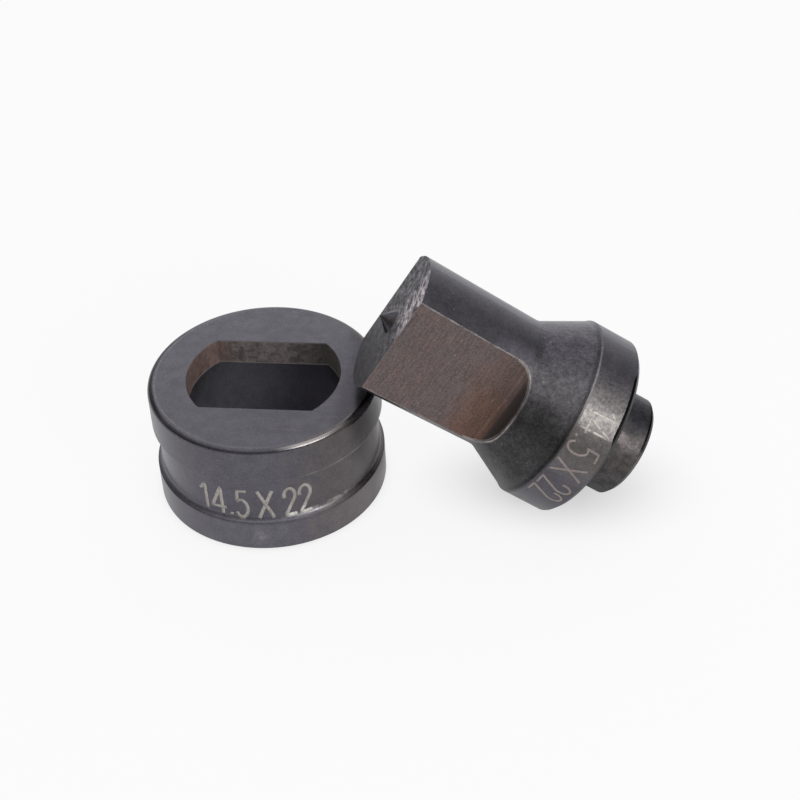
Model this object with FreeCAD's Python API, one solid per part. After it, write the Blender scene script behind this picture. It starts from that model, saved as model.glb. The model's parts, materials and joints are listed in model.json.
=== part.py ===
import FreeCAD, Part
import math
import os
from FreeCAD import Placement, Rotation, Vector

# Punch and die of a busbar punching tool, for a flattened round hole.
# All lengths are in millimetres and all angles in degrees.
# The origin is the centre of the die's base, +Z is up, and the slot's long side lies along X.

# Hole that the pair cuts: a circle with two flats across it.
hole_length = 22.0
hole_width = 14.5
cutting_clearance = 1.0

# Die.
die_radius = 18.0
die_height = 20.0
rim_rounding = 1.0
base_chamfer = 0.3
cutting_land = 4.4
relief_step = 1.0
relief_chamfer = 0.4
slot_corner_radius = 0.25

# Groove round the die, where the holder's screw catches it.
groove_depth = 0.8
groove_bottom = 5.4
groove_top = 13.55
groove_lower_flank = 0.65
groove_lower_fillet = 1.2
groove_upper_flank = 0.35
groove_edge_chamfer = 0.2

# Punch, from the end of its shank to its face.
shank_radius = 8.1
shank_length = 7.4
shank_chamfer = 0.6
shank_root_chamfer = 0.25
flange_radius = 14.65
flange_length = 7.2
flange_rear_chamfer = 0.6
flange_front_chamfer = 0.2
cone_length = 7.5
body_length = 20.4
back_taper = 0.4
neck_blend = 3.0
centre_point_radius = 2.0
centre_point_height = 2.0

# Flats of the punch, which end in a hollow run-out.
flat_length = 17.2
runout_radius = 3.5

# How the punch lies: its flange stands on the floor and its body leans on the die's rim.
foot_distance = 40.95
foot_offset = -0.2
lean_heading = 0.8
punch_roll = 9.9
resting_gap = 0.3

body_radius = hole_length / 2
half_flat = hole_width / 2
neck_radius = body_radius - back_taper
slot_radius = body_radius + cutting_clearance
slot_half_width = half_flat + cutting_clearance
relief_radius = slot_radius + relief_step
groove_radius = die_radius - groove_depth
flange_bottom = shank_length
flange_top = flange_bottom + flange_length
neck_height = flange_top + cone_length
face_height = neck_height + body_length
through = 1.0


def turned(corners):
    """Solid of revolution about Z from (radius, height, rounding) corners of half its section."""
    edges = []
    joins = []
    for index, (radius, height, rounding) in enumerate(corners):
        corner = Vector(radius, 0, height)
        if rounding == 0:
            joins.append((corner, corner))
            continue
        last_radius, last_height, _ = corners[index - 1]
        next_radius, next_height, _ = corners[(index + 1) % len(corners)]
        backwards = (Vector(last_radius, 0, last_height) - corner).normalize()
        forwards = (Vector(next_radius, 0, next_height) - corner).normalize()
        half_angle = backwards.getAngle(forwards) / 2
        inwards = (backwards + forwards).normalize()
        setback = rounding / math.tan(half_angle)
        start = corner + backwards * setback
        middle = corner + inwards * (rounding / math.sin(half_angle) - rounding)
        end = corner + forwards * setback
        edges.append(Part.Arc(start, middle, end).toShape())
        joins.append((start, end))
    for index, (start, _) in enumerate(joins):
        previous_end = joins[index - 1][1]
        edges.append(Part.makeLine(previous_end, start))
    section = Part.Face(Part.Wire(Part.__sortEdges__(edges)))
    return section.revolve(Vector(0, 0, 0), Vector(0, 0, 1), 360)


def flattened_round(radius, half_width, bottom, top):
    """Upright prism whose section is a circle with two flats, the hole's shape."""
    cylinder = Part.makeCylinder(radius, top - bottom, Vector(0, 0, bottom))
    corner = Vector(-radius, -half_width, bottom)
    slab = Part.makeBox(2 * radius, 2 * half_width, top - bottom, corner)
    return cylinder.common(slab)


def upright_edges(shape):
    """Straight edges of a shape that run along Z."""
    found = []
    for edge in shape.Edges:
        first, last = edge.Vertexes[0].Point, edge.Vertexes[-1].Point
        if math.hypot(last.x - first.x, last.y - first.y) < 1e-6:
            found.append(edge)
    return found


# The die is turned with its wide relief bored from below, up to the thin cutting land.
land_bottom = die_height - cutting_land
die_blank = turned([
    (0, land_bottom, 0),
    (relief_radius, land_bottom, 0),
    (relief_radius, relief_chamfer, 0),
    (relief_radius + relief_chamfer, 0, 0),
    (die_radius - base_chamfer, 0, 0),
    (die_radius, base_chamfer, 0),
    (die_radius, groove_bottom, 0),
    (groove_radius, groove_bottom + groove_lower_flank, groove_lower_fillet),
    (groove_radius, groove_top - groove_upper_flank, 0),
    (die_radius - groove_edge_chamfer, groove_top, 0),
    (die_radius, groove_top + groove_edge_chamfer, 0),
    (die_radius, die_height, rim_rounding),
    (0, die_height, 0),
])

# The slot is wire-cut through the land, so its four corners keep the wire's small radius.
slot = flattened_round(slot_radius, slot_half_width, land_bottom - through, die_height + through)
slot = slot.makeFillet(slot_corner_radius, upright_edges(slot))
die = die_blank.cut(slot).Solids[0]

# The punch is turned in one piece: shank, flange, cone, back-tapered body and centre point.
punch_blank = turned([
    (0, 0, 0),
    (shank_radius - shank_chamfer, 0, 0),
    (shank_radius, shank_chamfer, 0),
    (shank_radius, flange_bottom - shank_root_chamfer, 0),
    (shank_radius + shank_root_chamfer, flange_bottom, 0),
    (flange_radius - flange_rear_chamfer, flange_bottom, 0),
    (flange_radius, flange_bottom + flange_rear_chamfer, 0),
    (flange_radius, flange_top - flange_front_chamfer, 0),
    (flange_radius - flange_front_chamfer, flange_top, 0),
    (neck_radius, neck_height, neck_blend),
    (body_radius, face_height, 0),
    (centre_point_radius, face_height, 0),
    (0, face_height + centre_point_height, 0),
])

# A side cutter mills each flat from the face down, and its own radius is the run-out.
runout_start = face_height - flat_length
runout_end = runout_start - runout_radius
runout_axis = half_flat + runout_radius
cut_outside = body_radius + through
cut_above = face_height + through
arc_drop = runout_radius * math.sin(math.radians(45))
runout_arc = Part.Arc(
    Vector(0, half_flat, runout_start),
    Vector(0, runout_axis - arc_drop, runout_start - arc_drop),
    Vector(0, runout_axis, runout_end),
).toShape()
milling_outline = [
    Vector(0, runout_axis, runout_end),
    Vector(0, cut_outside, runout_end),
    Vector(0, cut_outside, cut_above),
    Vector(0, half_flat, cut_above),
    Vector(0, half_flat, runout_start),
]
milling_lines = [
    Part.makeLine(start, end)
    for start, end in zip(milling_outline, milling_outline[1:])
]
milling_face = Part.Face(Part.Wire(Part.__sortEdges__([runout_arc] + milling_lines)))
milling_face.translate(Vector(-cut_outside, 0, 0))
milled_side = milling_face.extrude(Vector(2 * cut_outside, 0, 0))
other_side = milled_side.rotated(Vector(0, 0, 0), Vector(0, 0, 1), 180)
punch = punch_blank.cut([milled_side, other_side]).Solids[0]

# The lean follows from the sizes, in the upright plane through the punch's axis.
# The foot is the flange's rear corner, at the point of it that stands on the floor.
# The rim centre is the centre of the die's rim rounding, seen in that plane.
foot_along = flange_bottom + flange_rear_chamfer
plane_offset = foot_offset - foot_distance * math.tan(math.radians(lean_heading))
rim_distance = math.sqrt((die_radius - rim_rounding) ** 2 - plane_offset ** 2)
rim_height = die_height - rim_rounding
span = foot_distance - rim_distance
taper_angle = math.atan2(back_taper, body_length)
line_radius_at_foot = neck_radius - (neck_height - foot_along) * math.tan(taper_angle)
foot_below_line = (flange_radius - line_radius_at_foot) * math.cos(taper_angle)
rim_below_line = rim_rounding + resting_gap
climb = math.atan2(rim_height, span)
closing = math.asin((foot_below_line - rim_below_line) / math.hypot(span, rim_height))
lean = math.degrees(climb - closing + taper_angle)

# The foot is carried to its place on the floor by rolling, tilting and turning the punch.
roll_turn = Rotation(Vector(0, 0, 1), punch_roll)
tilt_turn = Rotation(Vector(0, 1, 0), lean - 90)
heading_turn = Rotation(Vector(0, 0, 1), lean_heading)
foot_in_punch = Vector(-flange_radius, 0, foot_along)
foot_turned = heading_turn.multVec(tilt_turn.multVec(foot_in_punch))
foot_on_floor = Vector(foot_distance, foot_offset, 0)
whole_turn = heading_turn.multiply(tilt_turn).multiply(roll_turn)
punch_place = Placement(foot_on_floor - foot_turned, whole_turn)
punch.Placement = punch_place

os.makedirs("parts", exist_ok=True)
die.exportStep("parts/die.step")
punch.exportStep("parts/punch.step")

shank_wall_end = flange_bottom - shank_root_chamfer
shank_middle = punch_place.multVec(Vector(0, 0, (shank_chamfer + shank_wall_end) / 2))
shank_way = whole_turn.multVec(Vector(0, 0, -1))
print("lean angle", round(lean, 3), "gap to the die", round(punch.distToShape(die)[0], 3))
print("punch lowest point", round(punch.optimalBoundingBox().ZMin, 4))
print("shank mount", [round(value / 1000, 6) for value in shank_middle], list(shank_way))
print("volumes", round(die.Volume, 1), round(punch.Volume, 1), die.isValid(), punch.isValid())
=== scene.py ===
# %% [markdown]
# # A punch and its die, as a lesson
# The object is a pair of turned steel tools that cut one oblong hole in flat copper bar.
# The round die stands on the floor, and the punch leans on its rim.
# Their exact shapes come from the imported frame, so this script gives them what CAD leaves out:
# the black oxide and the brown machined faces, the worn edges, the size marks, the light and the camera.

# %% Load the frame
import json
import math
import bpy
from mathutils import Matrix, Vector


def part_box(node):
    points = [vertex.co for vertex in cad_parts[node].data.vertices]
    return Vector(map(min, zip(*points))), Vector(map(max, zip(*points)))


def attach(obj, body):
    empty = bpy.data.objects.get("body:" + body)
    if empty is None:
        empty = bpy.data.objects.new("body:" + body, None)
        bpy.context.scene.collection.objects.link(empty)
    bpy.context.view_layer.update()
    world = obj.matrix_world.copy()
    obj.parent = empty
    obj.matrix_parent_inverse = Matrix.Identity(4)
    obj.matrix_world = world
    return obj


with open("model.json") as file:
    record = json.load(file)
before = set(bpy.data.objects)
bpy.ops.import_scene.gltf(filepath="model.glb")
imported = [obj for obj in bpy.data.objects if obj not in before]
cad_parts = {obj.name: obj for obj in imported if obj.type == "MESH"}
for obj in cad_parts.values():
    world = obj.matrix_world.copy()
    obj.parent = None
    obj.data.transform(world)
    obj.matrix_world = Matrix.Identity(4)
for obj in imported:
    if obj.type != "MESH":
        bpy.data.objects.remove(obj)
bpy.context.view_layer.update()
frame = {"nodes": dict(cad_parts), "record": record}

from types import SimpleNamespace

import bpy
from mathutils import Matrix, Vector

MM = 0.001
die = frame["nodes"]["die"]
punch = frame["nodes"]["punch"]

# %% [markdown]
# ## The punch's own axes
# The punch lies at an angle, and its wear and machining marks follow its own axis, not the floor.
# Its axis is in the record, as the shank's mount.
# The two flats are by far the largest flat faces along that axis,
# so the mesh itself says which way they face.
# From these come a frame with its origin at the end of the shank: Z runs to the cutting face and
# -Y looks out of the flat that faces the camera.

# %% Find the punch's axes
shank = next(mount for mount in frame["record"]["mounts"] if mount["name"] == "punch_shank")
punch_axis = -Vector(shank["axis"]).normalized()


def flat_direction(node, axis):
    """Normal of the largest plane that runs along the axis, on the side that faces -Y."""
    areas = {}
    for face in node.data.polygons:
        if abs(face.normal.dot(axis)) < 0.002 and face.normal.y < 0:
            key = tuple(round(part, 2) for part in face.normal)
            total, _ = areas.get(key, (0.0, None))
            areas[key] = (total + face.area, face.normal.copy())
    return max(areas.values(), key=lambda entry: entry[0])[1].normalized()


punch_y = -flat_direction(punch, punch_axis)
punch_x = punch_y.cross(punch_axis).normalized()
along_axis = [vertex.co.dot(punch_axis) for vertex in punch.data.vertices]
on_axis = Vector(shank["pos_m"])
punch_origin = on_axis + punch_axis * (min(along_axis) - on_axis.dot(punch_axis))
punch_turn = Matrix((punch_x, punch_y, punch_axis))
punch_length = (max(along_axis) - min(along_axis)) / MM
print("punch origin", [round(v / MM, 3) for v in punch_origin], "length", round(punch_length, 2), "mm")

# %% [markdown]
# ## The camera
# The photograph looks down at the pair by about 40 degrees with a mild tele lens.
# The die stands upright, so its rings fix the camera's tilt, roll, distance and lens,
# and the camera is placed from those few values.

# %% Place the camera
IMAGE_SIZE = 800
lens_in_pixels = 1855.9
camera_heading = math.radians(8.0)
camera_tilt = math.radians(39.64)
camera_roll = math.radians(-3.29)
camera_distance = 298.84 * MM
base_centre_pixel = (274.6, 471.14)


def camera_axes():
    """Right, up and forward of the camera from its heading, tilt and roll."""
    level_right = Vector((math.cos(camera_heading), math.sin(camera_heading), 0))
    level_forward = Vector((-math.sin(camera_heading), math.cos(camera_heading), 0))
    forward = level_forward * math.cos(camera_tilt) - Vector((0, 0, math.sin(camera_tilt)))
    straight_up = level_right.cross(forward)
    right = level_right * math.cos(camera_roll) + straight_up * math.sin(camera_roll)
    return right, right.cross(forward), forward


right, up, forward = camera_axes()
across = (base_centre_pixel[0] - IMAGE_SIZE / 2) / lens_in_pixels * camera_distance
above = (IMAGE_SIZE / 2 - base_centre_pixel[1]) / lens_in_pixels * camera_distance
camera_place = -(right * across + up * above + forward * camera_distance)

bpy.ops.object.select_all(action="DESELECT")
bpy.ops.object.camera_add()
camera = bpy.context.object
camera.name = "photo_camera"
camera.matrix_world = Matrix.Translation(camera_place) @ Matrix((right, up, -forward)).transposed().to_4x4()
camera.data.sensor_width = 36.0
camera.data.lens = camera.data.sensor_width * lens_in_pixels / IMAGE_SIZE
camera.data.clip_start = 0.01
camera.data.clip_end = 20.0
bpy.context.scene.camera = camera
print("camera at", [round(v / MM, 1) for v in camera_place], "mm, lens", round(camera.data.lens, 2), "mm")

# %% [markdown]
# ## A small kit for node materials
# Every finish here is a node tree of its own.
# Written out node by node, such a tree is long and hard to read, so a small class adds a node,
# sets its sockets and wires it in one call. A socket that is given a number is set, and one that is given
# another node's output is linked.

class Finish:
    """A material whose nodes are added by short calls, with positions in millimetres."""

    def __init__(self, name):
        self.material = bpy.data.materials.new(name)
        self.material.use_nodes = True
        self.tree = self.material.node_tree
        self.surface = self.tree.nodes["Principled BSDF"]
        coordinates = self.tree.nodes.new("ShaderNodeTexCoord")
        self.place = self.vector("SCALE", coordinates.outputs["Object"], scale=1 / MM)

    def give(self, socket, value):
        """Links the socket to another node's output, or sets it to a value."""
        if isinstance(value, bpy.types.NodeSocket):
            self.tree.links.new(value, socket)
        elif value is not None:
            socket.default_value = value

    def math(self, operation, first, second=None, third=None):
        """One sum, product or comparison of numbers."""
        node = self.tree.nodes.new("ShaderNodeMath")
        node.operation = operation
        for socket, value in zip(node.inputs, (first, second, third)):
            self.give(socket, value)
        return node.outputs[0]

    def vector(self, operation, first, second=None, scale=None):
        """One sum, product or measure of vectors."""
        node = self.tree.nodes.new("ShaderNodeVectorMath")
        node.operation = operation
        self.give(node.inputs[0], first)
        self.give(node.inputs[1], second)
        if scale is not None:
            self.give(node.inputs["Scale"], scale)
        return node.outputs["Value" if operation in ("LENGTH", "DISTANCE") else "Vector"]

    def parts(self, vector):
        """X, Y and Z of a vector."""
        node = self.tree.nodes.new("ShaderNodeSeparateXYZ")
        self.give(node.inputs[0], vector)
        return node.outputs

    def joined(self, x, y, z):
        """A vector from its X, Y and Z."""
        node = self.tree.nodes.new("ShaderNodeCombineXYZ")
        for socket, value in zip(node.inputs, (x, y, z)):
            self.give(socket, value)
        return node.outputs[0]

    def mapped(self, turn, origin):
        """Positions in a piece's own axes, in millimetres, from the axes' rows and origin in metres."""
        node = self.tree.nodes.new("ShaderNodeMapping")
        node.inputs["Location"].default_value = -(turn @ origin) / MM
        node.inputs["Rotation"].default_value = turn.to_euler("XYZ")
        self.give(node.inputs["Vector"], self.place)
        return node.outputs[0]

    def noise(self, vector, scale, detail=3.0, roughness=0.55):
        """Cloudy noise from 0 to 1, mostly between 0.3 and 0.7."""
        node = self.tree.nodes.new("ShaderNodeTexNoise")
        for name, value in (("Vector", vector), ("Scale", scale),
                            ("Detail", detail), ("Roughness", roughness)):
            self.give(node.inputs[name], value)
        return node.outputs["Fac"]

    def streaks(self, vector, turn, along, across, low, high):
        """Fine scratches: a noise drawn out in one direction of the XY plane and cut off at its peaks."""
        node = self.tree.nodes.new("ShaderNodeMapping")
        node.inputs["Rotation"].default_value = (0.0, 0.0, math.radians(turn))
        node.inputs["Scale"].default_value = (along, across, across)
        self.give(node.inputs["Vector"], vector)
        return self.ramp(self.noise(node.outputs[0], 1.0, detail=3.0, roughness=0.6), low, high)

    def ramp(self, value, low, high, out_low=0.0, out_high=1.0):
        """The value's way from low to high, smoothed, as a way from out_low to out_high."""
        node = self.tree.nodes.new("ShaderNodeMapRange")
        node.interpolation_type = "SMOOTHSTEP"
        for name, given in (("Value", value), ("From Min", low), ("From Max", high),
                            ("To Min", out_low), ("To Max", out_high)):
            self.give(node.inputs[name], given)
        return node.outputs["Result"]

    def over(self, value, limit):
        """1 where the value is over the limit."""
        return self.math("GREATER_THAN", value, limit)

    def under(self, value, limit):
        """1 where the value is under the limit."""
        return self.math("LESS_THAN", value, limit)

    def near(self, value, target, width):
        """1 where the value is at the target, fading to 0 at width away."""
        distance = self.math("ABSOLUTE", self.math("SUBTRACT", value, target))
        return self.ramp(distance, 0.0, width, 1.0, 0.0)

    def between(self, value, low, high, soft):
        """1 where the value lies between low and high, with soft ends."""
        return self.both(self.ramp(value, low - soft, low + soft), self.ramp(value, high + soft, high - soft))

    def both(self, *masks):
        """The product of masks or factors: 1 only where all are."""
        product = masks[0]
        for mask in masks[1:]:
            product = self.math("MULTIPLY", product, mask)
        return product

    def most(self, *masks):
        """The highest of some masks."""
        highest = masks[0]
        for mask in masks[1:]:
            highest = self.math("MAXIMUM", highest, mask)
        return highest

    def off(self, mask):
        """1 where the mask is 0, and the other way round."""
        return self.math("SUBTRACT", 1.0, mask)

    def eased(self, mask, level):
        """A factor that goes smoothly from 1 off the mask to the level on it."""
        return self.ramp(mask, 0.0, 1.0, 1.0, level)

    def only(self, mask, level):
        """A factor that is 1 off the mask and the level on it, in proportion between."""
        return self.math("MULTIPLY_ADD", mask, self.math("SUBTRACT", level, 1.0), 1.0)

    def mix(self, amount, first, second):
        """Two colours, by an amount from 0 to 1."""
        node = self.tree.nodes.new("ShaderNodeMix")
        node.data_type = "RGBA"
        self.give(node.inputs[0], amount)
        for socket, value in zip(node.inputs[6:8], (first, second)):
            self.give(socket, (*value, 1.0) if isinstance(value, tuple) else value)
        return node.outputs[2]

    def tint(self, colour, amount):
        """A colour made lighter or darker by an amount round 1."""
        return self.vector("SCALE", colour, scale=amount)

    def bump(self, height, strength, depth, normal=None):
        """Height from 0 to 1 as relief that is depth millimetres deep."""
        node = self.tree.nodes.new("ShaderNodeBump")
        node.inputs["Strength"].default_value = strength
        node.inputs["Distance"].default_value = depth * MM
        self.give(node.inputs["Height"], height)
        self.give(node.inputs["Normal"], normal)
        return node.outputs[0]

    def round_edge(self, radius):
        """A normal that rounds sharp edges by a radius in millimetres."""
        node = self.tree.nodes.new("ShaderNodeBevel")
        node.samples = 6
        node.inputs["Radius"].default_value = radius * MM
        return node.outputs[0]


print("finish kit ready")

# %% [markdown]
# ## Black oxide
# Both pieces are hardened tool steel under black oxide, a dark skin about a micron thick that shines
# like satin and reflects about an eighth of the light.
# It is not one colour: it goes from violet to brown in clouds, with patches and a fine grain on top.

# %% Mix the oxide
OXIDE_VIOLET = (0.122, 0.1165, 0.136)
OXIDE_NEUTRAL = (0.122, 0.1165, 0.122)
OXIDE_WARM = (0.126, 0.114, 0.110)
OXIDE_BROWN = (0.126, 0.114, 0.112)
BARE_STEEL = (0.46, 0.43, 0.42)
edge_rounding = 0.1
skin_depth = 0.012


def oxide_shade(f):
    """Slow clouds, patches and a fine grain as one factor round 1, with the patches and grain alone."""
    clouds = f.noise(f.place, 0.09, detail=3.0, roughness=0.5)
    patches = f.noise(f.place, 0.5, detail=5.0, roughness=0.62)
    grain = f.noise(f.place, 3.2, detail=3.0, roughness=0.75)
    shade = f.math("ADD", f.ramp(clouds, 0.3, 0.7, 0.95, 1.05), f.ramp(patches, 0.3, 0.7, -0.10, 0.10))
    return f.math("ADD", shade, f.ramp(grain, 0.2, 0.8, -0.20, 0.20)), patches, grain


def oxide_roughness(f, patches, grain):
    """Satin gloss, a little duller in the patches."""
    return f.math("ADD", f.ramp(patches, 0.3, 0.7, 0.31, 0.37), f.ramp(grain, 0.2, 0.8, -0.04, 0.04))


print("oxide from violet", OXIDE_VIOLET, "to brown", OXIDE_BROWN)

# %% [markdown]
# ## The die's finish
# One material covers the whole piece, and masks made from height, radius and azimuth say where each
# finish lies. Azimuth is 0 at the front and grows to the right.
# The masks that several steps need are made once and travel together as `at`.

# %% Find the die's zones
die_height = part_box("die")[1].z / MM
die_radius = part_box("die")[1].x / MM
land_depth = 4.4
bore_radius = 13.4
groove_floor_radius = 17.2
groove_bottom, groove_top = 5.4, 13.55


def die_zones(f):
    """Where a point of the die lies, as numbers, masks and noises."""
    at = SimpleNamespace()
    at.x, at.y, at.z = f.parts(f.place)
    at.radius = f.vector("LENGTH", f.joined(at.x, at.y, 0.0))
    at.azimuth = f.math("ARCTAN2", at.x, f.math("MULTIPLY", at.y, -1.0))
    at.inside = f.both(f.under(at.radius, bore_radius + 0.2), f.under(at.z, die_height - 0.02))
    at.land = f.both(at.inside, f.over(at.z, die_height - land_depth - 0.02))
    at.wall = f.over(at.radius, die_radius - 1.05)
    at.rim = f.both(f.ramp(at.z, die_height - 1.15, die_height - 0.9),
                    f.ramp(at.radius, die_radius - 1.2, die_radius - 0.9))
    at.foot = f.both(at.wall, f.ramp(at.z, groove_bottom + 0.2, groove_bottom - 0.8))
    at.hollow = f.both(at.wall, f.between(at.z, groove_bottom + 0.1, groove_bottom + 0.8, 0.12))
    at.shade, at.patches, at.grain = oxide_shade(f)
    at.spotty = f.ramp(f.noise(f.place, 0.9, detail=4.0, roughness=0.7), 0.40, 0.62)
    # Bare steel on the rim where the lamp's streak lies: a painted highlight.
    at.rim_shine = f.both(f.between(at.z, die_height - 0.46, die_height - 0.11, 0.06), at.rim,
                          f.ramp(at.azimuth, 0.20, 0.48), f.ramp(at.azimuth, 1.05, 0.62),
                          f.ramp(at.spotty, 0.0, 1.0, 0.9, 1.0))
    return at


print("die", round(die_radius * 2, 2), "mm wide and", round(die_height, 2), "mm high")

# %% [markdown]
# The outside is browner on the right. Light and shade are painted on it: the top is painted lighter towards
# the back left and darker at the right near the punch, the wall's right edge is painted darker, and the foot
# below the groove and the hollow are painted lighter.
# The rim has a painted dark line at the left, a painted reflection of the dark room that the rounding looks
# into.
# The slot's land was wire-cut after the oxide and is matt brown with scuffs, and the bore behind it is dark,
# with painted light at its left and painted shade to its right.

# %% Colour the die
LAND_WARM = (0.270, 0.190, 0.170)
LAND_GREY = (0.270, 0.232, 0.225)
LAND_DARK = (0.130, 0.120, 0.112)
# Painted light and painted shade for the bore.
BORE_PAINTED_LIGHT = (0.235, 0.232, 0.262)
BORE_PAINTED_SHADE = (0.084, 0.079, 0.104)


def die_oxide(f, at):
    """Black oxide of the outside, with painted light and shade on top, rim, foot, hollow and right edge."""
    ragged_x = f.math("ADD", at.x, f.ramp(at.patches, 0.3, 0.7, -2.5, 2.5))
    right_side = f.both(at.wall, f.ramp(ragged_x, 4.0, 13.0))
    oxide = f.mix(f.both(right_side, 0.8), OXIDE_VIOLET, OXIDE_BROWN)

    # Painted light and shade on the top: lighter towards the back left, and darker at the right next to the
    # punch.
    towards_back = f.math("ADD", f.both(at.x, 0.6), f.both(at.y, -1.0))
    top_painted_light_and_shade = f.both(f.ramp(towards_back, -16.0, 16.0, 1.08, 0.90),
                      f.eased(f.both(f.off(at.wall), f.ramp(at.x, 10.0, 15.5)), 0.68))
    # Painted dark reflection on the rim, at the left where the rounding faces the dark room.
    dark_line = f.between(at.z, die_height - 0.60, die_height - 0.32, 0.12)
    dark_crest = f.between(at.z, die_height - 0.35, die_height - 0.02, 0.04)
    rim_painted_dark = f.both(at.rim, f.most(f.both(dark_line, f.ramp(at.x, 1.0, -10.0), 0.50),
                                     f.both(dark_crest, f.ramp(at.x, -12.5, -15.5), 0.66)))
    # Painted light and shade: the foot and the hollow are painted lighter, and the wall's right edge darker.
    return f.tint(oxide, f.both(
        at.shade, top_painted_light_and_shade,
        f.eased(at.foot, f.ramp(at.x, -14.0, -6.0, 1.02, 1.22)),
        f.eased(rim_painted_dark, 0.0),
        f.eased(at.hollow, f.ramp(at.x, -13.0, -4.0, 1.0, 1.7)),
        f.eased(f.both(at.wall, f.ramp(at.x, 15.8, 17.3)), 0.75)))


def die_land(f, at):
    """Wire-cut land: warm at the left, grey in the middle, dark at the right, scuffed by the punch."""
    cut_grain = f.noise(f.vector("MULTIPLY", f.place, (1.0, 1.0, 0.5)), 1.7, detail=6.0, roughness=0.72)
    brown = f.mix(f.ramp(at.x, -9.5, -5.0), LAND_WARM, LAND_GREY)
    brown = f.mix(f.ramp(at.x, 0.0, 10.5), brown, LAND_DARK)
    scuffs = f.noise(f.vector("MULTIPLY", f.place, (0.7, 1.0, 1.0)), 0.9, detail=5.0, roughness=0.7)
    middle = f.ramp(f.math("ABSOLUTE", at.x), 9.0, 5.0)
    return f.tint(brown, f.both(
        f.ramp(cut_grain, 0.3, 0.7, 0.70, 1.30),
        f.eased(f.near(at.x, -9.6, 1.6), 1.25),
        f.only(middle, f.ramp(scuffs, 0.40, 0.60, 0.70, 1.32))))


def die_bore(f, at):
    """Oxide in the bore, with painted light at the left and painted shade to the right."""
    return f.tint(f.mix(f.ramp(at.x, -10.0, 5.0), BORE_PAINTED_LIGHT, BORE_PAINTED_SHADE), at.shade)


print("die colours ready")

# %% [markdown]
# Edges are worn down to bare steel: the groove's upper edge, the rim's inner edge at the left, both edges of
# the land, and a scuff on the front of the foot. Bare steel is also painted on the rim and the hollow as
# painted highlights, where the lamp's streak lies. A few nicks and scratches lie anywhere.

# %% Wear the die and finish it
def die_wear(f, at):
    """Where the oxide is worn down to bare steel, and where bare steel is painted on as highlights."""
    edge_wear = f.ramp(at.spotty, 0.0, 1.0, 0.35, 1.0)
    sides = f.ramp(f.math("ABSOLUTE", at.x), 5.0, 12.0, 0.10, 1.0)
    groove_line = f.math("ADD", groove_top, f.ramp(at.x, -2.0, 2.0, -0.42, 0.20))
    groove_rim = f.both(f.near(at.z, groove_line, 0.42), at.wall, sides, edge_wear,
                        f.ramp(at.x, -2.0, 2.0, 0.75, 0.32))
    rim_line = f.both(f.near(at.radius, die_radius - 1.15, 0.22), f.over(at.z, die_height - 0.1),
                      f.ramp(at.x, -4.0, -12.0), edge_wear, 0.22)
    slot_rim = f.both(at.land, f.near(at.z, die_height, 0.34), 0.8)
    land_end = f.both(at.land, f.near(at.z, die_height - land_depth, 0.42), 0.7)
    # Bare steel on the hollow where the lamp's streak lies: a painted highlight.
    hollow_painted_highlight = f.both(at.wall, f.between(at.z, 5.9, 6.5, 0.2), f.between(at.azimuth, 0.50, 0.88, 0.10),
                       at.spotty, 0.65)
    foot_scuff = f.both(at.wall, f.between(at.z, 1.6, 3.8, 0.9), f.between(at.azimuth, 0.0, 0.11, 0.06),
                        at.spotty, 0.22)
    scratch = f.both(f.streaks(f.place, 28.0, 0.10, 3.0, 0.62, 0.72), f.over(at.z, die_height - 0.02), 0.10)
    nicks = f.both(f.ramp(f.noise(f.place, 1.5, detail=2.0), 0.70, 0.76), f.off(at.inside), 0.25)
    return f.most(groove_rim, rim_line, at.rim_shine, slot_rim, land_end, hollow_painted_highlight, foot_scuff,
                  scratch, nicks)


def die_finish():
    """Black oxide outside, brown land and a bore in painted light and shade inside, worn edges and painted
    highlights.
    """
    f = Finish("die_black_oxide")
    at = die_zones(f)
    colour = f.mix(at.inside, die_oxide(f, at), die_bore(f, at))
    colour = f.mix(at.land, colour, die_land(f, at))
    f.give(f.surface.inputs["Base Color"], f.mix(die_wear(f, at), colour, BARE_STEEL))
    f.give(f.surface.inputs["Metallic"], f.ramp(at.land, 0.0, 1.0, 1.0, 0.35))

    rough = oxide_roughness(f, at.patches, at.grain)
    rough = f.math("ADD", rough, f.math("SUBTRACT", f.both(at.rim_shine, 0.10), f.both(at.rim, 0.08)))
    f.give(f.surface.inputs["Roughness"], f.math("MAXIMUM", rough, f.both(at.land, 0.62)))
    turning = f.noise(f.joined(0.0, 0.0, at.z), 4.2, detail=4.0, roughness=0.7)
    relief = f.math("ADD", f.both(at.grain, 0.8), f.both(turning, f.off(at.inside), 0.3))
    f.give(f.surface.inputs["Normal"], f.bump(relief, 0.4, skin_depth, f.round_edge(edge_rounding)))
    return f.material


die.data.materials[0] = die_finish()
print("die finish on", len(die.data.polygons), "faces")

# %% [markdown]
# ## The punch's finish
# The punch has the same oxide, but its two flats were milled later and show brown bare metal.
# Its masks are made in the punch's own axes: `s` is the distance from the end of the shank,
# and `angle` goes round the axis, 0 on the flat that faces the camera and growing upwards.
# A mask that is made from the angle ends before the punch's back, where the angle jumps by a full turn.

# %% Find the punch's zones
body_radius = 11.0
half_flat = 7.25
neck_radius = 10.6
neck_at = 22.1
face_at = 42.5
flat_from = 25.3
runout_from = 21.8
runout_radius = 3.5
flange_rear, flange_front = 7.4, 14.6
flange_radius = 14.65
back_angle = 2.6


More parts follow.
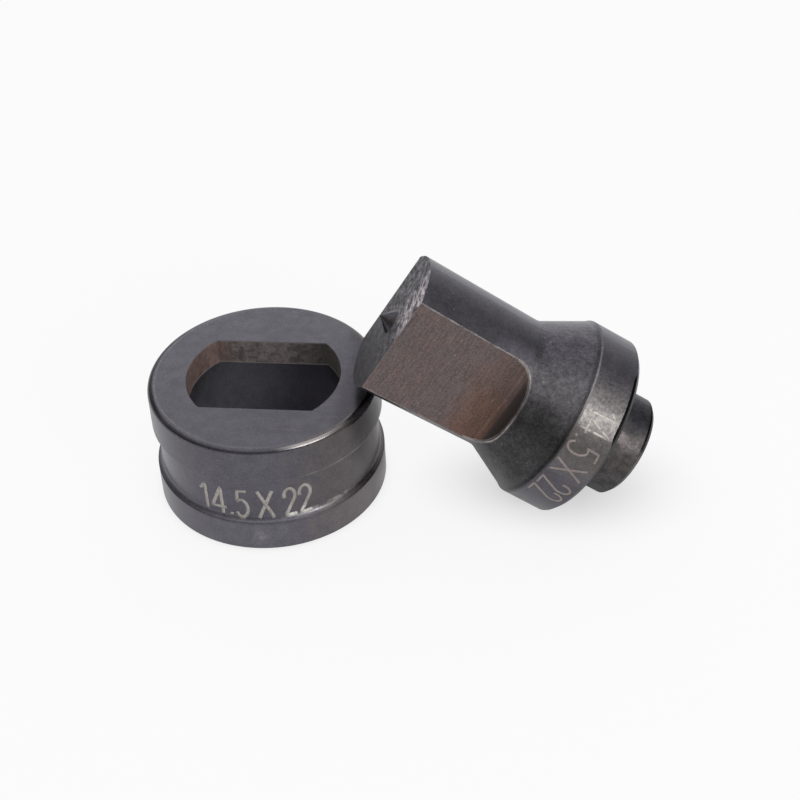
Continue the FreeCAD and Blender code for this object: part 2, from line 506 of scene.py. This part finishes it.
def punch_zones(f):
    """Where a point of the punch lies, as numbers, masks and noises."""
    at = SimpleNamespace()
    at.own = f.mapped(punch_turn, punch_origin)
    at.x, at.y, at.s = f.parts(at.own)
    at.radius = f.vector("LENGTH", f.joined(at.x, at.y, 0.0))
    at.angle = f.math("ARCTAN2", at.x, f.math("MULTIPLY", at.y, -1.0))
    at.off_axis = f.math("ABSOLUTE", at.y)
    taper = (body_radius - neck_radius) / (face_at - neck_at)
    turned_radius = f.math("MULTIPLY_ADD", at.s, taper, neck_radius - neck_at * taper)
    at.depth = f.math("SUBTRACT", turned_radius, at.radius)
    at.milled = f.both(f.over(at.depth, 0.03), f.over(at.off_axis, half_flat - 0.02),
                       f.over(at.s, runout_from), f.under(at.s, face_at - 0.01))
    at.face = f.both(f.over(at.s, face_at - 0.012), f.under(at.s, face_at + 0.02))
    at.cone = f.both(f.ramp(at.s, flange_front - 0.05, flange_front + 0.05),
                     f.ramp(at.s, neck_at + 2, neck_at))
    at.flange = f.both(f.over(at.radius, flange_radius - 0.7),
                       f.ramp(at.s, flange_front + 0.05, flange_front))
    at.shank = f.ramp(at.s, flange_rear + 0.05, flange_rear - 0.05)
    at.shade, at.patches, at.grain = oxide_shade(f)
    at.blotches = f.noise(at.own, 0.55, detail=6.0, roughness=0.72)
    at.speckle = f.noise(at.own, 1.9, detail=6.0, roughness=0.8)
    # Painted shade along the flange's rear edge and round the shank's end.
    rear_width = f.ramp(f.between(at.angle, 0.42, 1.2, 0.12), 0.0, 1.0, 0.56, 1.05)
    at.rear = f.most(f.both(at.flange, f.under(at.s, f.math("ADD", flange_rear, rear_width))),
                     f.both(f.ramp(at.s, 1.0, 0.85), f.between(at.angle, 0.475, back_angle, 0.125)))
    # The side where the flange is scuffed and where the lamp's highlight falls.
    handled = f.math("MULTIPLY_ADD", f.ramp(at.angle, 0.40, 0.46), 0.7,
                     f.both(f.ramp(at.angle, 0.22, 0.30), 0.3))
    at.handled = f.both(handled, f.ramp(at.angle, 1.22, 0.78))
    return at


print("punch", round(punch_length, 2), "mm long with its centre point")

# %% [markdown]
# The oxide of the cone is blotched, with painted shade below, along a streak on its upper side and at the
# shoulder.
# The shank's oxide is darker and blotched, with a painted highlight on its side towards the camera and
# painted shade on its top. The rear edges of flange and shank get painted shade, the flange's underside is
# painted darker, and the top of the body gets a painted sheen.

# %% Colour the punch's oxide
def punch_oxide(f, at):
    """Black oxide of the turned faces, with painted light and shade on cone, shank, flange, rear edges and
    body top.
    """
    # Painted shade on the cone: below, along a streak on its upper side and at its shoulder, over real
    # blotches.
    cone_blotches_and_painted_shade = f.both(
        f.math("MULTIPLY_ADD", f.between(at.angle, -back_angle, 0.225, 0.375), -0.66, 1.08),
        f.eased(f.near(at.angle, 1.2, 0.55), 0.55),
        f.eased(f.near(at.s, flange_front + 0.2, 0.6), 0.6),
        f.ramp(at.blotches, 0.35, 0.62, 0.80, 1.15), f.ramp(at.speckle, 0.40, 0.60, 0.86, 1.14))
    # The shank's oxide is darker and blotched; its side towards the camera is painted lighter as a painted
    # highlight and its top darker as painted shade.
    shank_tone_and_painted_light = f.both(
        f.ramp(at.blotches, 0.35, 0.62, 0.45, 0.85),
        f.ramp(f.between(at.angle, 0.1, 0.95, 0.25), 0.0, 1.0, 0.85, 1.40),
        f.only(f.between(at.angle, 1.05, back_angle, 0.15), 0.8))
    # Painted shade under the flange.
    flange_underside_painted_shade = f.both(at.flange, f.between(at.angle, -back_angle, -0.15, 0.15))
    # Painted sheen along the top of the body.
    body_top_painted_sheen = f.both(f.ramp(at.s, neck_at + 1, neck_at + 3), f.between(at.angle, 1.515, back_angle, 0.135))
    gripped = f.both(f.near(at.angle, 0.84, 0.34), f.ramp(at.s, 31.5, 26.5),
                     f.ramp(at.s, neck_at - 0.3, neck_at + 1.2))
    level = f.both(
        at.shade, f.eased(flange_underside_painted_shade, 0.74), f.only(at.cone, cone_blotches_and_painted_shade), f.only(at.shank, shank_tone_and_painted_light),
        f.eased(body_top_painted_sheen, 1.28), f.eased(gripped, 2.0), f.ramp(at.speckle, 0.40, 0.60, 0.92, 1.08),
        f.eased(at.rear, 0.08), f.ramp(at.s, face_at, face_at + 0.1, 1.0, 0.6))

    neutral = f.both(f.most(at.cone, at.shank), f.between(at.angle, -back_angle, 0.9, 0.3))
    warm = f.both(f.off(at.cone), f.between(at.angle, -0.05, 0.75, 0.25))
    oxide = f.mix(warm, f.mix(neutral, OXIDE_VIOLET, OXIDE_NEUTRAL), OXIDE_WARM)
    return f.tint(oxide, level)


print("punch oxide ready")

# %% [markdown]
# The flats show the cutter's rows as a fine grain, which turns orange in the hollow run-out, where painted
# shade deepens towards its end.
# The cutting face is torn and pitted from use, and rubbed bright towards its upper front edge.

# %% Colour the flats and the face
FLAT_BROWN = (0.158, 0.115, 0.109)
FLAT_GREY = (0.140, 0.112, 0.110)
RUNOUT_ORANGE = (0.156, 0.088, 0.068)
RUNOUT_PAINTED_SHADE = (0.052, 0.038, 0.037)
FACE_GREY = (0.092, 0.088, 0.096)
FACE_WORN = (0.270, 0.245, 0.262)


def punch_flat(f, at):
    """Milled steel: brown with fine rows, orange towards the run-out, with painted shade into the run-out and
    at its end.
    """
    blots = f.noise(at.own, 0.4, detail=4.0, roughness=0.6)
    brown = f.mix(f.ramp(blots, 0.35, 0.65), FLAT_GREY, FLAT_BROWN)
    ragged_s = f.math("ADD", at.s, f.ramp(at.patches, 0.0, 1.0, -1.2, 1.2))
    orange = f.both(f.ramp(ragged_s, 31.0, 26.0), f.ramp(at.x, 5.0, -2.0, 0.35, 1.0))
    cut_grain = f.noise(at.own, 4.6, detail=3.0, roughness=0.8)
    rows = f.noise(f.joined(f.both(at.x, 0.30), 0.0, f.both(at.s, 2.6)), 1.0, detail=4.0, roughness=0.7)
    # Painted shade darkens the flat into the run-out.
    brown = f.tint(f.mix(orange, brown, RUNOUT_ORANGE), f.both(
        f.ramp(cut_grain, 0.34, 0.66, 0.70, 1.30), f.ramp(rows, 0.35, 0.65, 0.84, 1.16),
        f.ramp(ragged_s, 27.0, 25.0, 1.0, 0.84), f.eased(f.near(at.s, 23.5, 0.35), 1.35)))
    # Painted shade at the run-out's end.
    runout_end_painted_shade = f.both(f.ramp(at.s, 23.0, 22.5), f.ramp(at.x, 6.5, 4.5))
    return f.mix(runout_end_painted_shade, brown, RUNOUT_PAINTED_SHADE)


def punch_face(f, at):
    """Torn steel of the cutting face, and its relief from 0 to 1."""
    torn_place = f.joined(at.x, f.both(at.y, 0.6), 0.0)
    chips = f.noise(torn_place, 0.65, detail=7.0, roughness=0.70)
    pits = f.noise(torn_place, 1.8, detail=6.0, roughness=0.75)
    torn = f.ramp(at.x, -6.0, 3.0, 0.2, 1.0)
    rubbed = f.both(f.ramp(at.x, -1.0, 6.0), f.ramp(at.y, 1.0, -5.0), f.ramp(chips, 0.38, 0.54))
    torn_level = f.both(f.ramp(chips, 0.40, 0.60, 0.7, 2.2), f.ramp(pits, 0.38, 0.62, 0.6, 1.6))
    colour = f.tint(f.mix(rubbed, FACE_GREY, FACE_WORN), f.only(torn, torn_level))
    return colour, f.both(at.face, chips, torn)


print("flats and face ready")

# %% [markdown]
# The edges of the flats, of the run-out and of the face are worn bright, and the flange's front edge gets
# bare steel as a painted highlight where the lamp's streak lies.
# The run-out's edge lies where the cutter's radius ends, so its mask is the distance from the cutter's axis.
# Flange and shank are scuffed bright by handling on the side towards the camera, and there the scuffs also
# carry a painted highlight where the lamp's streak crosses them.

# %% Wear the punch and finish it
face_relief_depth = 1.0


def punch_wear(f, at):
    """Where the oxide and the flats are worn down to bare steel, and where bare steel is painted on as
    highlights.
    """
    waver = f.ramp(f.noise(at.own, 0.9, detail=4.0, roughness=0.65), 0.36, 0.64, 0.15, 1.0)
    flat_edge = f.both(at.milled, f.ramp(at.depth, 0.03, 0.20, 1.0, 0.0), waver,
                       f.ramp(at.x, -3.0, 3.0, 0.6, 1.0), 0.62)
    turned_edge = f.both(f.near(at.off_axis, half_flat, 0.10), f.over(at.s, flat_from),
                         f.under(at.depth, 0.05), waver, 0.5)
    from_cutter = f.vector("LENGTH", f.joined(f.math("SUBTRACT", at.off_axis, half_flat + runout_radius),
                                              f.math("SUBTRACT", at.s, flat_from), 0.0))
    runout_edge = f.both(f.near(from_cutter, runout_radius + 0.05, 0.28), f.under(at.s, flat_from),
                         f.under(at.depth, 0.25), f.ramp(waver, 0.15, 1.0, 0.35, 0.7))
    face_edge = f.both(f.near(at.s, face_at, 0.16), f.under(at.s, face_at - 0.01), waver, 0.55)
    # Bare steel on the flange's front edge where the lamp's streak lies: a painted highlight.
    flange_edge_painted_highlight = f.both(f.near(at.s, flange_front - 0.1, 0.18), f.over(at.radius, flange_radius - 0.25),
                         f.near(at.angle, 0.62, 0.55), 0.8)
    # Real scuffs, placed where the lamp's highlight falls, so they also carry a painted highlight.
    flange_scuffs_and_highlight = f.both(at.flange, f.off(at.rear), at.handled,
                          f.ramp(at.speckle, 0.36, 0.62, 0.14, 0.60))
    # Scuffs on the shank where the lamp's highlight falls: real wear and a painted highlight.
    shank_scuffs_and_highlight = f.both(at.shank, f.between(at.angle, 0.45, 0.70, 0.12),
                         f.ramp(at.speckle, 0.42, 0.64, 0.0, 0.22), f.ramp(at.s, 0.6, 1.6))
    nicks = f.both(f.ramp(f.noise(at.own, 1.3, detail=2.0), 0.70, 0.76), f.off(at.face), 0.3)
    return f.most(flat_edge, turned_edge, runout_edge, face_edge, flange_edge_painted_highlight, flange_scuffs_and_highlight, shank_scuffs_and_highlight,
                  nicks)


def punch_finish():
    """Black oxide on the turned faces, brown flats, rough face, worn edges."""
    f = Finish("punch_black_oxide")
    at = punch_zones(f)
    face_colour, face_relief = punch_face(f, at)
    colour = f.mix(at.milled, punch_oxide(f, at), punch_flat(f, at))
    colour = f.mix(at.face, colour, face_colour)
    f.give(f.surface.inputs["Base Color"], f.mix(punch_wear(f, at), colour, BARE_STEEL))
    f.give(f.surface.inputs["Metallic"], f.ramp(at.milled, 0.0, 1.0, 1.0, 0.45))

    rough = oxide_roughness(f, at.patches, at.grain)
    rough = f.math("ADD", rough, f.both(f.most(at.shank, f.both(at.flange, at.handled)), 0.08))
    f.give(f.surface.inputs["Roughness"], f.most(rough, f.both(at.milled, 0.52), f.both(at.face, 0.6)))
    turning = f.noise(f.joined(0.0, 0.0, at.s), 4.2, detail=4.0, roughness=0.7)
    relief = f.math("ADD", f.both(at.grain, 0.8), f.both(turning, f.off(at.milled), 0.3))
    normal = f.bump(relief, 0.4, skin_depth, f.round_edge(edge_rounding))
    f.give(f.surface.inputs["Normal"], f.bump(face_relief, 1.0, face_relief_depth, normal))
    return f.material


punch.data.materials[0] = punch_finish()
print("punch finish on", len(punch.data.polygons), "faces")

# %% [markdown]
# ## The size marks
# Both pieces are marked with the size of the hole, in plain numbers etched by an electric marking pad.
# An etched mark has no thickness to speak of, but its edges are crisp, which a painted mask in a material
# is not, so each mark is made as a very thin solid that lies on the steel.
# The characters are drawn as single pen strokes, as an engraving template draws them:
# each stroke is a curve swept by a flat rectangle, which keeps the line equally wide everywhere.
# The flat mark is then rolled onto its round band, point by point.

# %% Draw the characters
stroke_sink = 0.02
stroke_rise = 0.014
point_spacing = 0.3


def arc(centre, radii, start, end, count=12):
    """Points on an ellipse from one angle to another, in degrees."""
    angles = [math.radians(start + (end - start) * step / count) for step in range(count + 1)]
    return [(centre[0] + radii[0] * math.cos(a), centre[1] + radii[1] * math.sin(a)) for a in angles]


CHARACTERS = {
    "1": [[(-0.1, 0.74), (0.95, 1.0), (1.0, 0.06)]],
    "4": [[(0.74, 0.02), (0.70, 1.0), (0.0, 0.24), (1.0, 0.27)]],
    ".": [[(0.0, 0.045), (0.0, 0.125)]],
    "5": [[(0.96, 0.98), (0.17, 0.96)] + arc((0.44, 0.33), (0.53, 0.32), 127, -150)],
    "X": [[(0.0, 1.0), (1.0, 0.0)], [(1.0, 1.0), (0.0, 0.0)]],
    "2": [arc((0.47, 0.75), (0.47, 0.25), 200, -28) + [(0.02, 0.02), (1.0, 0.04)]],
}
SIZE_TEXT = [("1", -8.75, 0.95), ("4", -6.85, 2.4), (".", -3.66, 0.0), ("5", -2.8, 1.85),
             ("X", 0.65, 2.25), ("2", 4.65, 1.8), ("2", 7.0, 1.9)]


def evenly_spaced(points, spacing):
    """The same line with more points, none further apart than the spacing."""
    result = [points[0]]
    for (x0, y0), (x1, y1) in zip(points, points[1:]):
        steps = max(1, math.ceil(math.hypot(x1 - x0, y1 - y0) / spacing))
        result += [(x0 + (x1 - x0) * k / steps, y0 + (y1 - y0) * k / steps) for k in range(1, steps + 1)]
    return result


def flat_mark(name, text_height, stroke_width):
    """The size in flat strokes, in millimetres: x across, y up from the foot of the text, z its height."""
    bpy.ops.object.select_all(action="DESELECT")
    bpy.ops.curve.primitive_bezier_circle_add()
    profile = bpy.context.object
    profile.data.splines.clear()
    section = profile.data.splines.new("POLY")
    section.points.add(3)
    half = stroke_width / 2
    corners = ((-half, -stroke_sink), (half, -stroke_sink), (half, stroke_rise), (-half, stroke_rise))
    for point, (x, y) in zip(section.points, corners):
        point.co = (x, y, 0, 1)
    section.use_cyclic_u = True

    bpy.ops.object.select_all(action="DESELECT")
    bpy.ops.curve.primitive_bezier_curve_add()
    mark = bpy.context.object
    mark.name = name
    mark.data.splines.clear()
    mark.data.dimensions = "3D"
    mark.data.twist_mode = "Z_UP"
    for character, left, width in SIZE_TEXT:
        for line in CHARACTERS[character]:
            points = evenly_spaced([(left + x * width, y * text_height) for x, y in line], point_spacing)
            stroke = mark.data.splines.new("POLY")
            stroke.points.add(len(points) - 1)
            for point, (x, y) in zip(stroke.points, points):
                point.co = (x, y, 0, 1)
    mark.data.bevel_mode = "OBJECT"
    mark.data.bevel_object = profile
    mark.data.use_fill_caps = True
    bpy.ops.object.convert(target="MESH")
    bpy.data.objects.remove(profile)
    return mark


def roll_on(mark, to_surface):
    """Carries each flat point to the band, and turns the faces outwards."""
    for vertex in mark.data.vertices:
        vertex.co = to_surface(*vertex.co)
    bpy.ops.object.mode_set(mode="EDIT")
    bpy.ops.mesh.select_all(action="SELECT")
    bpy.ops.mesh.remove_doubles(threshold=0.001 * MM)
    bpy.ops.mesh.normals_make_consistent(inside=False)
    bpy.ops.object.mode_set(mode="OBJECT")
    return mark


# %% [markdown]
# On the die the feet of the figures reach down onto the hollow at the groove's lower edge,
# so the radius that carries them follows that hollow.
# On the punch the text reads round the flange, with its feet towards the cone.

# %% Roll them onto the bands
die_mark_azimuth = 271.0
die_mark_foot = 6.0
punch_mark_angle = 4.2
punch_mark_foot = 14.15
hollow_radius = 1.2
hollow_centre = (18.4, 6.62)


def groove_radius_at(z):
    """Radius of the groove's floor, and of its lower hollow, at a height."""
    drop = hollow_centre[1] - z
    if drop <= 0:
        return groove_floor_radius
    return hollow_centre[0] - math.sqrt(hollow_radius ** 2 - drop ** 2)


def on_die(x, y, z):
    """A point of the mark in the die's groove."""
    angle = math.radians(die_mark_azimuth) + x / groove_floor_radius
    height = die_mark_foot + y
    radius = (groove_radius_at(height) + z) * MM
    return Vector((radius * math.cos(angle), radius * math.sin(angle), height * MM))


def on_punch(x, y, z):
    """A point of the mark on the punch's flange."""
    angle = math.radians(punch_mark_angle) - x / flange_radius
    radius = (flange_radius + z) * MM
    own = Vector((radius * math.sin(angle), -radius * math.cos(angle), (punch_mark_foot - y) * MM))
    return punch_origin + punch_turn.transposed() @ own


die_mark = roll_on(flat_mark("die_size_mark", text_height=5.35, stroke_width=0.56), on_die)
punch_mark = roll_on(flat_mark("punch_size_mark", text_height=5.4, stroke_width=0.38), on_punch)
print("marks", len(die_mark.data.polygons), len(punch_mark.data.polygons), "faces")

# %% [markdown]
# The etched steel is pale, matt and speckled, because the acid bites unevenly. Round one spot on each mark it
# is painted bright, as a painted highlight where the lamp's streak falls.

# %% Finish the marks
def etched_finish(name, pale, dull, bright, highlight_spot, highlight_reach):
    """Pale matt etch with dark specks, and a painted highlight round one spot."""
    f = Finish(name)
    specks = f.noise(f.place, 2.6, detail=5.0, roughness=0.7)
    fading = f.noise(f.place, 0.28, detail=2.0)
    amount = f.both(f.ramp(specks, 0.32, 0.62, 0.55, 1.0), f.ramp(fading, 0.3, 0.7, 0.75, 1.0))
    colour = f.mix(amount, dull, pale)
    # Painted highlight round one spot, broken up by noise.
    distance = f.vector("DISTANCE", f.place, tuple(highlight_spot / MM))
    highlight_breakup = f.ramp(f.noise(f.place, 1.1, detail=4.0, roughness=0.7), 0.33, 0.47)
    etch_painted_highlight = f.both(f.ramp(distance, highlight_reach, highlight_reach * 0.6), amount, highlight_breakup)
    colour = f.mix(etch_painted_highlight, colour, bright)
    f.give(f.surface.inputs["Base Color"], colour)
    f.surface.inputs["Metallic"].default_value = 0.25
    f.give(f.surface.inputs["Roughness"], f.ramp(specks, 0.3, 0.7, 0.45, 0.6))
    f.give(f.surface.inputs["Normal"], f.bump(specks, 0.3, 0.01))
    return f.material


die_mark.data.materials.append(etched_finish(
    "die_etching", pale=(0.56, 0.53, 0.49), dull=(0.12, 0.115, 0.12), bright=(0.95, 0.93, 0.88),
    highlight_spot=on_die(7.0, -0.4, 0.0), highlight_reach=2.7))
punch_mark.data.materials.append(etched_finish(
    "punch_etching", pale=(0.38, 0.32, 0.30), dull=(0.12, 0.105, 0.10), bright=(0.88, 0.84, 0.77),
    highlight_spot=on_punch(-8.2, 3.0, 0.0), highlight_reach=4.6))
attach(die_mark, "die")
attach(punch_mark, "punch")
print("marks ride on die and punch")

# %% [markdown]
# ## Floor and light
# The pair stands on a pale seamless floor.
# A dark satin metal shows almost only what it reflects, so the light is laid out by its reflections.
# The pale floor fills the walls of the die and the flat of the punch.
# A broad soft light behind, at about the height of the camera, fills the tops, and one overhead the cone.
# Between floor and lights the room is dark, and this dark band draws the rim of the die.
# One small lamp low in front on the right makes the bright streaks on rim, groove and flange.
# Soft ovals keep the floor's shade under the pieces. Each says in millimetres where it lies and how far
# it reaches, and how much of the floor's lift it takes away, where the floor is seen and where mirrored.

# %% Lay the floor
FLOOR_WHITE = (0.90, 0.90, 0.90)
floor_radius = 2.5
floor_drop = 0.02
seen_lift, mirrored_lift = 0.88, 0.78
shaded_spots = (
    {"centre": (0.0, 0.0), "half": (19.5, 19.5), "core": 0.6, "seen": 1.0, "mirrored": 1.0},
    {"centre": (46.0, 0.0), "half": (27.0, 15.0), "core": 0.1, "seen": 0.4, "mirrored": 1.0},
    {"centre": (29.0, 6.0), "half": (12.6, 12.6), "core": 0.6, "seen": 0.0, "mirrored": 0.65},
)

bpy.ops.object.select_all(action="DESELECT")
bpy.ops.mesh.primitive_circle_add(
    vertices=96, radius=floor_radius, fill_type="NGON", location=(0, 0, -floor_drop * MM))
floor = bpy.context.object
floor.name = "studio_floor"


def floor_finish():
    """Pale matt floor, lifted to white where it is seen or mirrored, but less so under the pieces."""
    f = Finish("floor_white")
    faint = f.noise(f.place, 0.004, detail=2.0)
    f.give(f.surface.inputs["Base Color"], f.tint(FLOOR_WHITE, f.ramp(faint, 0.3, 0.7, 0.99, 1.01)))
    f.surface.inputs["Roughness"].default_value = 0.9
    f.surface.inputs["Specular IOR Level"].default_value = 0.1
    path = f.tree.nodes.new("ShaderNodeLightPath")
    glow = f.tree.nodes.new("ShaderNodeEmission")
    blend = f.tree.nodes.new("ShaderNodeMixShader")
    seen = f.both(path.outputs["Is Camera Ray"], seen_lift)
    in_mirror = f.most(path.outputs["Is Glossy Ray"], path.outputs["Is Transmission Ray"])
    mirrored = f.both(in_mirror, mirrored_lift)
    for spot in shaded_spots:
        offset = f.vector("SUBTRACT", f.place, (*spot["centre"], 0.0))
        scale = (1 / spot["half"][0], 1 / spot["half"][1], 0.0)
        distance = f.vector("LENGTH", f.vector("MULTIPLY", offset, scale))
        seen = f.both(seen, f.ramp(distance, spot["core"], 1.0, 1.0 - spot["seen"], 1.0))
        mirrored = f.both(mirrored, f.ramp(distance, spot["core"], 1.0, 1.0 - spot["mirrored"], 1.0))
    f.give(blend.inputs[0], f.most(seen, mirrored))
    f.give(blend.inputs[1], f.surface.outputs[0])
    f.give(blend.inputs[2], glow.outputs[0])
    f.give(f.tree.nodes["Material Output"].inputs["Surface"], blend.outputs[0])
    return f.material


floor.data.materials.append(floor_finish())
print("floor", floor_radius, "m in radius")

# %% Light the room
horizon_level = 0.30
back_light_gain = 0.62
back_light_azimuth, back_light_height = 98, 27
overhead_gain = 0.62


def way_to(azimuth, elevation):
    """Unit vector towards an azimuth and elevation in degrees."""
    a, e = math.radians(azimuth), math.radians(elevation)
    return Vector((math.cos(a) * math.cos(e), math.sin(a) * math.cos(e), math.sin(e)))


world = bpy.data.worlds.new("studio")
bpy.context.scene.world = world
world.use_nodes = True
tree = world.node_tree
way = tree.nodes.new("ShaderNodeTexCoord").outputs["Generated"]


def soft_light(towards, edge, core, gain):
    """A soft round light in the world: none beyond the edge angle, all within the core angle."""
    facing = tree.nodes.new("ShaderNodeVectorMath")
    facing.operation = "DOT_PRODUCT"
    facing.inputs[1].default_value = towards
    level = tree.nodes.new("ShaderNodeMapRange")
    level.interpolation_type = "SMOOTHSTEP"
    level.inputs["From Min"].default_value = math.cos(math.radians(edge))
    level.inputs["From Max"].default_value = math.cos(math.radians(core))
    level.inputs["To Max"].default_value = gain
    tree.links.new(way, facing.inputs[0])
    tree.links.new(facing.outputs["Value"], level.inputs["Value"])
    return level.outputs["Result"]


back_light = soft_light(way_to(back_light_azimuth, back_light_height), 62, 8, back_light_gain)
overhead = soft_light(Vector((0, 0, 1)), 55, 25, overhead_gain)
lights = tree.nodes.new("ShaderNodeMath")
room = tree.nodes.new("ShaderNodeMath")
room.inputs[1].default_value = horizon_level
tree.links.new(back_light, lights.inputs[0])
tree.links.new(overhead, lights.inputs[1])
tree.links.new(lights.outputs[0], room.inputs[0])
tree.links.new(room.outputs[0], tree.nodes["Background"].inputs["Strength"])
tree.nodes["Background"].inputs["Color"].default_value = (1.0, 1.0, 1.0, 1.0)

streak_lamp_azimuth, streak_lamp_height = -44, 28
streak_lamp_distance = 0.6
streak_lamp_size = (0.23, 0.12)
streak_lamp_radiance = 8.0

lamp_way = way_to(streak_lamp_azimuth, streak_lamp_height)
bpy.ops.object.light_add(type="AREA", location=lamp_way * streak_lamp_distance)
lamp = bpy.context.object
lamp.name = "streak_lamp"
lamp.rotation_euler = lamp_way.to_track_quat("Z", "Y").to_euler()
lamp.data.shape = "RECTANGLE"
lamp.data.size, lamp.data.size_y = streak_lamp_size
lamp.data.energy = streak_lamp_radiance * math.pi * streak_lamp_size[0] * streak_lamp_size[1]
print("lamp", round(lamp.data.energy, 2), "W")

# %% Finish
bpy.context.scene.view_settings.view_transform = "Standard"
